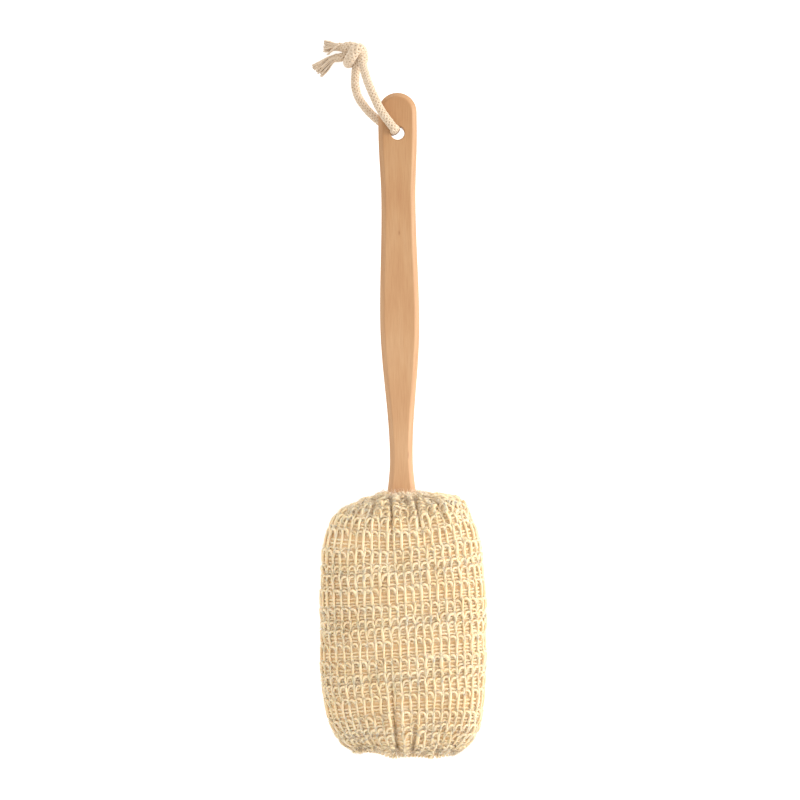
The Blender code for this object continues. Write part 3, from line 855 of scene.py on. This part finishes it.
# The mouth's edge is rolled over the elastic in the same way, close round the handle's neck, and
# it waves up and down as it goes round.
MOUTH_HALF_WIDTH, MOUTH_HALF_HEIGHT = 10.7 * MM, 7.5 * MM
MOUTH_POWER = 2.9
MOUTH_RADIUS = 1.5 * MM
MOUTH_INSET = 1.9 * MM
MOUTH_WAVES, MOUTH_WAVE_HEIGHT = 7, 0.6 * MM
round_mouth = np.linspace(0, 2 * math.pi, 121)
mouth_line = np.stack(
    [
        MOUTH_HALF_WIDTH * power(np.sin(round_mouth), 2 / MOUTH_POWER),
        sleeve_high.y - MOUTH_INSET + MOUTH_WAVE_HEIGHT * np.sin(MOUTH_WAVES * round_mouth + 1.0),
        HEAD_Z + MOUTH_HALF_HEIGHT * power(np.cos(round_mouth), 2 / MOUTH_POWER),
    ],
    -1,
)
whipped("sisal_mouth_roll", mouth_line, MOUTH_RADIUS)


# ---------------------------------------------------------------------------------------------
# Loose fibres. Sisal is stiff and hairy: ends stand out of the yarn all over, and many more lie
# flat across the gaps between the stitches.

# More have worked loose at the two gathered ends.
row_shares = 1 + 1.6 * np.abs(np.linspace(-1, 1, len(yarn_paths))) ** 5
row_shares /= row_shares.sum()
# Each kind: how many, how far they stand up (0 lies flat, 1 stands straight), the spread of
# their lengths, and their radius in millimetres. Real fibres are thinner and far more.
fuzz_kinds = (
    ("sisal_standing_fibres", 6400, (0.05, 0.7), (3.0, 0.75), 0.068),
    ("sisal_lying_fibres", 8600, (0.0, 0.12), (4.0, 1.0), 0.075),
    ("sisal_cross_fibres", 8600, (0.0, 0.05), (5.0, 1.1), 0.075),
    ("sisal_lint_fibres", 9000, (0.0, 0.06), (3.2, 0.9), 0.11),
)
SHORTEST_FIBRE, LONGEST_FIBRE = 0.9, 5.0
FIBRE_CURL = 0.5
for name, count, lifts, lengths, thick in fuzz_kinds:
    row_picks = chance.choice(len(yarn_paths), count, p=row_shares)
    point_picks = chance.integers(0, yarn_paths.shape[1], count)
    roots = yarn_paths[row_picks, point_picks]
    facings = yarn_ups[row_picks, point_picks]
    aim = chance.standard_normal((count, 3))
    aim -= (aim * facings).sum(1, keepdims=True) * facings
    aim /= np.linalg.norm(aim, axis=1, keepdims=True)
    lift = chance.uniform(*lifts, (count, 1))
    away = aim * (1 - lift) + facings * lift
    away /= np.linalg.norm(away, axis=1, keepdims=True)
    curl = np.cross(away, facings) * chance.uniform(-1, 1, (count, 1))
    reach = chance.gamma(*lengths, (count, 1)) + SHORTEST_FIBRE
    reach = np.minimum(reach, LONGEST_FIBRE) * MM
    t = np.linspace(0, 1, 4)[None, :, None]
    hair = roots[:, None] + away[:, None] * reach[:, None] * t
    hair = hair + curl[:, None] * reach[:, None] * FIBRE_CURL * t * t
    hair = hair + facings[:, None] * 0.3 * YARN
    hair[..., 2] = np.maximum(hair[..., 2], 0.2 * MM)
    slim = np.broadcast_to([[1.0, 0.95, 0.8, 0.5]], (count, 4)) * thick * MM
    fuzz = strands(name, hair, slim, 3)
    wear(fuzz, sisal)
    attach(fuzz, "brush")


# ---------------------------------------------------------------------------------------------
# Neck elastic and closing thread. An elastic covered in thread draws in the sleeve's mouth, inside
# its rolled edge. The thread that gathers the base lies inside the hem's roll.

COVERING_SPACING = 0.5 * MM
THREAD_MOTTLE = 1.11 * MM

# Rubber covered in spun thread: cream, with fine slanting ribs.
elastic, tree, shader = new_material("thread_covered_elastic")
place = add(tree, "TexCoord").outputs["Object"]
covering = add(
    tree,
    "TexWave",
    {"Vector": place, "Scale": WAVE_BAND / COVERING_SPACING, "Distortion": 0.5},
    bands_direction="DIAGONAL",
)
tint = add(tree, "ValToRGB", {"Fac": covering.outputs["Fac"]}, [(0.2, "#cdbfa2"), (0.8, "#ece2cc")])
tree.links.new(tint.outputs[0], shader.inputs["Base Color"])
shader.inputs["Roughness"].default_value = 0.8
wear(nodes["neck_elastic"], elastic)

# Sisal thread, tightly twisted: straw coloured, matt and mottled.
closing, tree, shader = new_material("twisted_sisal_thread")
place = add(tree, "TexCoord").outputs["Object"]
twist = add(tree, "TexNoise", {"Vector": place, "Scale": 1 / THREAD_MOTTLE, "Detail": 3.0})
tint = add(tree, "ValToRGB", {"Fac": twist.outputs["Fac"]}, [(0.3, "#c9a972"), (0.7, "#ecd7ae")])
tree.links.new(tint.outputs[0], shader.inputs["Base Color"])
shader.inputs["Roughness"].default_value = 0.8
wear(nodes["base_closing_thread"], closing)


# ---------------------------------------------------------------------------------------------
# Hanging cord. Soft braided cotton, put through the hole, with both ends tied together in one
# overhand knot and left to fray. Each side is its own braid of twelve strands round a core.

BRAID_STRANDS = 6
STRAND_RADIUS = 0.70 * MM
BRAID_RADIUS = 2.12 * MM
BRAID_SWING = 0.12 * MM
CORE_RADIUS = 2.1 * MM
# It is pressed flat against the side of the hole over its first stretch.
PRESSED_OVER = 10 * MM
PRESSED_THIN = 0.62
PRESSED_WIDE = 1.32
PRESSED_ASIDE = 1.2 * MM
HOLE_SIDE = np.array([-0.64, 0.77, 0.0])
# In the knot, which starts over this distance past these two lines, the braid is squeezed wider.
KNOT_FROM_Y, KNOT_TO_X = 229 * MM, -35 * MM
KNOT_BLEND = 4 * MM
KNOT_SPREAD = 0.30
BRAID_PITCH = 15 * MM
POINT_STEP = 0.6 * MM
STRAND_TWIST = 6.25 * MM
COTTON_FIBRE = 5.26 * MM

# The routes of the cord's two sides, from the hole to where the ends are unravelled.
FRONT_ROUTE = (
    (-0.7, 185.1, 21.8),
    (-0.7, 185.1, 24.8),
    (-1.0, 185.5, 27.6),
    (-2.2, 187.0, 29.8),
    (-5.0, 190.6, 30.5),
    (-8.7, 195.7, 30.5),
    (-11.7, 200.7, 30.3),
    (-14.1, 206.0, 29.6),
    (-16.4, 211.6, 26.8),
    (-18.5, 217.4, 21.8),
    (-20.1, 222.8, 17.2),
    (-21.2, 227.2, 13.8),
    (-21.6, 230.8, 12.8),
    (-21.7, 234.4, 12.8),
    (-22.2, 237.6, 13.4),
    (-23.6, 239.2, 14.8),
    (-25.8, 238.2, 15.8),
    (-27.8, 235.6, 15.2),
    (-29.5, 233.1, 13.0),
    (-30.8, 231.2, 9.0),
    (-30.8, 230.8, 5.4),
    (-29.4, 232.2, 3.4),
    (-27.4, 235.0, 3.0),
    (-28.0, 237.2, 3.4),
    (-30.6, 237.0, 4.2),
    (-33.0, 235.6, 4.8),
    (-35.2, 234.8, 5.0),
    (-38.8, 234.5, 3.8),
    (-41.4, 233.9, 3.4),
)
BACK_ROUTE = (
    (-0.7, 185.1, 21.2),
    (-0.7, 185.1, 18.2),
    (-1.1, 185.4, 15.4),
    (-2.6, 186.5, 13.2),
    (-5.6, 188.8, 12.2),
    (-10.2, 192.3, 11.0),
    (-15.0, 196.5, 8.6),
    (-20.1, 202.2, 5.4),
    (-24.6, 209.2, 3.4),
    (-26.6, 216.2, 3.0),
    (-26.6, 221.8, 3.4),
    (-26.1, 226.6, 4.6),
    (-25.4, 230.4, 6.6),
    (-25.0, 234.0, 7.8),
    (-25.0, 237.4, 8.4),
    (-26.4, 240.0, 8.4),
    (-29.0, 241.0, 7.6),
    (-31.6, 241.0, 6.6),
    (-34.0, 240.9, 5.6),
    (-37.2, 241.7, 4.4),
    (-39.6, 241.8, 3.8),
)
# Where each frayed end stops: the two corners of its blunt cut, in millimetres.
FRONT_FRAY = ((-54.6, 229.6), (-47.8, 222.6))
BACK_FRAY = ((-46.0, 245.9), (-46.6, 238.4))
FRAY_YARNS = 34
# Half the width and depth that the yarns start from, and how far back inside the braid.
FRAY_WIDE, FRAY_DEEP = 2.2 * MM, 2.3 * MM
FRAY_BACK = 9
FRAY_POINTS = 14
# One twist of yarn has come loose from the upper tail and lies across the lower one.
LOOSE_TWIST = ((-36.4, 242.6, 7.2), (-38.6, 241.2, 7.6), (-41.2, 239.0, 7.2), (-44.0, 236.6, 5.6))
LOOSE_POINTS = 16

# Cotton, unbleached and braided soft: matt off-white, with fine fibres along each strand and a
# faint bloom where lint catches the light.
bleached, tree, shader = new_material("braided_natural_cotton")
yarn_place = add(tree, "UVMap", uv_map="yarn").outputs[0]
split = add(tree, "SeparateXYZ", {0: yarn_place})
turned = add(
    tree,
    "Math",
    {0: split.outputs[0], 1: 1 / STRAND_TWIST, 2: split.outputs[1]},
    operation="MULTIPLY_ADD",
)
lengthwise = add(tree, "Math", {0: split.outputs[0], 1: 1 / COTTON_FIBRE}, operation="MULTIPLY")
roundwise = add(tree, "Math", {0: turned.outputs[0], 1: FIBRES_ROUND}, operation="MULTIPLY")
fibre_place = add(tree, "CombineXYZ", {0: lengthwise.outputs[0], 1: roundwise.outputs[0]})
fibres = add(tree, "TexNoise", {"Vector": fibre_place.outputs[0], "Scale": 1.0, "Detail": 3.0})
tint = add(
    tree,
    "ValToRGB",
    {"Fac": fibres.outputs["Fac"]},
    [(0.3, "#c9ad8b"), (0.5, "#d9c3a8"), (0.72, "#e3d1bc")],
)
tree.links.new(tint.outputs[0], shader.inputs["Base Color"])
relief = add(
    tree, "Bump", {"Height": fibres.outputs["Fac"], "Strength": 0.5, "Distance": 0.2 * MM}
)
tree.links.new(relief.outputs[0], shader.inputs["Normal"])
shader.inputs["Roughness"].default_value = 0.85
shader.inputs["Sheen Weight"].default_value = 0.3


def framed(path):
    """Two directions square to a path at each point, which don't twist along it."""
    ahead = np.gradient(path, axis=0)
    ahead /= np.linalg.norm(ahead, axis=1, keepdims=True)
    one = np.array([1.0, 0.0, 0.0])
    ones = np.empty_like(path)
    for i, direction in enumerate(ahead):
        one = one - direction * one.dot(direction)
        one = one / np.linalg.norm(one)
        ones[i] = one
    return ones, np.cross(ahead, ones)


def braid(name, path):
    """A braid round a core: half its strands turn each way, over and under the others."""
    ones, others = framed(path)
    gone = np.arange(len(path)) * POINT_STEP
    in_knot = smooth_step(path[:, 1], KNOT_FROM_Y, KNOT_FROM_Y + KNOT_BLEND)
    in_knot = in_knot * smooth_step(path[:, 0], KNOT_TO_X, KNOT_TO_X + KNOT_BLEND)
    spread = 1 + KNOT_SPREAD * in_knot
    paths = []
    for direction in (1, -1):
        for n in range(BRAID_STRANDS):
            turn = 2 * math.pi * (direction * gone / BRAID_PITCH + n / BRAID_STRANDS)
            over = np.cos(2 * math.pi * BRAID_STRANDS * gone / BRAID_PITCH + math.pi * n)
            out = (spread * (BRAID_RADIUS + direction * BRAID_SWING * over))[:, None]
            around = np.cos(turn)[:, None] * ones + np.sin(turn)[:, None] * others
            paths.append(path + out * around)
    paths.append(path)
    paths = np.array(paths)
    pressed = (1 - smooth_step(gone, 0.5 * PRESSED_OVER, PRESSED_OVER))[None, :, None]
    off = paths - path
    thin = (off @ HOLE_SIDE)[..., None] * HOLE_SIDE
    level = off * [1.0, 1.0, 0.0] - thin
    paths = paths + pressed * (
        PRESSED_ASIDE * HOLE_SIDE + (PRESSED_THIN - 1) * thin + (PRESSED_WIDE - 1) * level
    )
    radii = np.full((len(paths), 1), STRAND_RADIUS)
    radii[-1] = CORE_RADIUS
    narrow = np.where(np.arange(len(paths))[:, None] == len(paths) - 1, pressed[..., 0], 0)
    tapered = np.clip((gone[-1] - gone) / (3 * MM), 0.3, 1)
    radii = radii * spread * tapered * (1 - (1 - PRESSED_THIN) * narrow)
    paths[..., 2] = np.maximum(paths[..., 2], radii + 0.1 * MM)
    return strands(name, paths, radii, 6)


def fray(name, path, cut):
    """The unravelled end of a braid: yarns that fan out from its last stretch to a cut end."""
    corners = np.array([[*corner, 0.0] for corner in cut]) * MM
    back = len(path) - FRAY_BACK
    ahead = path[-1] - path[back]
    ahead /= np.linalg.norm(ahead)
    beside = corners[1] - corners[0]
    beside /= np.linalg.norm(beside)
    paths = []
    for n in range(FRAY_YARNS):
        spread = (n + 0.5) / FRAY_YARNS
        side = (2 * spread - 1) * FRAY_WIDE
        depth = chance.uniform(-1, 1) * math.sqrt(max(0.0, FRAY_DEEP**2 - side**2))
        offset = side * beside + np.array([0.0, 0.0, depth])
        tip = corners[0] + (corners[1] - corners[0]) * (spread + 0.04 * chance.standard_normal())
        tip = tip + ahead * chance.uniform(-1.4, 0.7) * MM
        tip[2] = chance.uniform(0.8, 4.6) * MM
        root, last = path[back] + offset, path[-1] + offset
        middle = last * 0.45 + tip * 0.55 + chance.standard_normal(3) * 0.3 * MM
        paths.append(evenly(smooth_through([root, last, middle, tip], 6), FRAY_POINTS))
    paths = np.array(paths)
    paths[..., 2] = np.maximum(paths[..., 2], 0.6 * MM)
    taper = np.linspace(0.60, 0.42, FRAY_POINTS) * MM
    return strands(name, paths, taper, 5)


loose_line = evenly(smooth_through(np.array(LOOSE_TWIST) * MM, 6), LOOSE_POINTS)
turn = np.linspace(0, 3 * math.pi, LOOSE_POINTS)
around_line = np.stack([np.cos(turn), 0 * turn, np.sin(turn)], -1) * 0.42 * MM
loose_yarns = np.array([loose_line + around_line, loose_line - around_line])
loose = strands("cord_loose_twist", loose_yarns, 0.5 * MM, 5)
wear(loose, bleached)
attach(loose, "hanging_loop")

for side, route, cut, hidden in (
    ("front", FRONT_ROUTE, FRONT_FRAY, ("cord_front_run", "cord_knot", "cord_front_tail")),
    ("back", BACK_ROUTE, BACK_FRAY, ("cord_back_run", "cord_back_tail")),
):
    path = smooth_through(np.array(route) * MM, 12)
    length = float(np.linalg.norm(np.diff(path, axis=0), axis=1).sum())
    path = evenly(path, int(length / POINT_STEP))
    cord = braid("hanging_cord_" + side, path)
    end = fray("cord_fray_" + side, path, cut)
    for piece in (cord, end):
        wear(piece, bleached)
        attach(piece, "hanging_loop")
    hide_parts(*hidden)


# ---------------------------------------------------------------------------------------------
# Studio. A pale table top, one large soft light to the right and even light all round, and a
# long lens straight above.

# In metres: the floor's size, its gap under the brush, the light and the camera.
FLOOR_SIZE = 8.0
FLOOR_GAP = 0.4 * MM
LIGHT_PLACE = (1.30, 0.35, 0.55)
LIGHT_SIZE = 0.9
PICTURE_WIDTH = 0.506
CAMERA_PLACE = (-0.0004, 0.0158, 2.0)
CAMERA_TURN = math.radians(-0.65)
# Half-way up the brush, where the picture's width is measured.
SHARP_Z = 0.022
SENSOR = 36.0

bpy.ops.object.select_all(action="DESELECT")
bpy.ops.mesh.primitive_plane_add(size=FLOOR_SIZE, location=(0.0, 0.0, -FLOOR_GAP))
floor = bpy.context.object
floor.name = "studio_floor"
# White paper: matt and even, a little brighter than its light makes it, so it stays plain.
paper, tree, shader = new_material("white_paper_sweep")
shader.inputs["Base Color"].default_value = linear("#d8d8d8")
shader.inputs["Roughness"].default_value = 0.9
shader.inputs["Emission Color"].default_value = (1.0, 1.0, 1.0, 1.0)
shader.inputs["Emission Strength"].default_value = 0.62
wear(floor, paper)

world = bpy.data.worlds.new("studio")
bpy.context.scene.world = world
world.use_nodes = True
world.node_tree.nodes["Background"].inputs["Color"].default_value = (1.0, 0.995, 0.985, 1.0)
world.node_tree.nodes["Background"].inputs["Strength"].default_value = 1.03


bpy.ops.object.light_add(type="AREA", location=LIGHT_PLACE)
key_light = bpy.context.object
key_light.name = "key_light"
key_light.data.size = LIGHT_SIZE
key_light.data.energy = 18.0
key_light.rotation_mode = "QUATERNION"
key_light.rotation_quaternion = (-Vector(LIGHT_PLACE)).to_track_quat("-Z", "Y")

bpy.ops.object.camera_add(location=CAMERA_PLACE)
camera = bpy.context.object
camera.rotation_euler = (0.0, 0.0, CAMERA_TURN)
camera.data.sensor_width = SENSOR
camera.data.lens = SENSOR * (CAMERA_PLACE[2] - SHARP_Z) / PICTURE_WIDTH
bpy.context.scene.camera = camera
bpy.context.scene.view_settings.view_transform = "Standard"
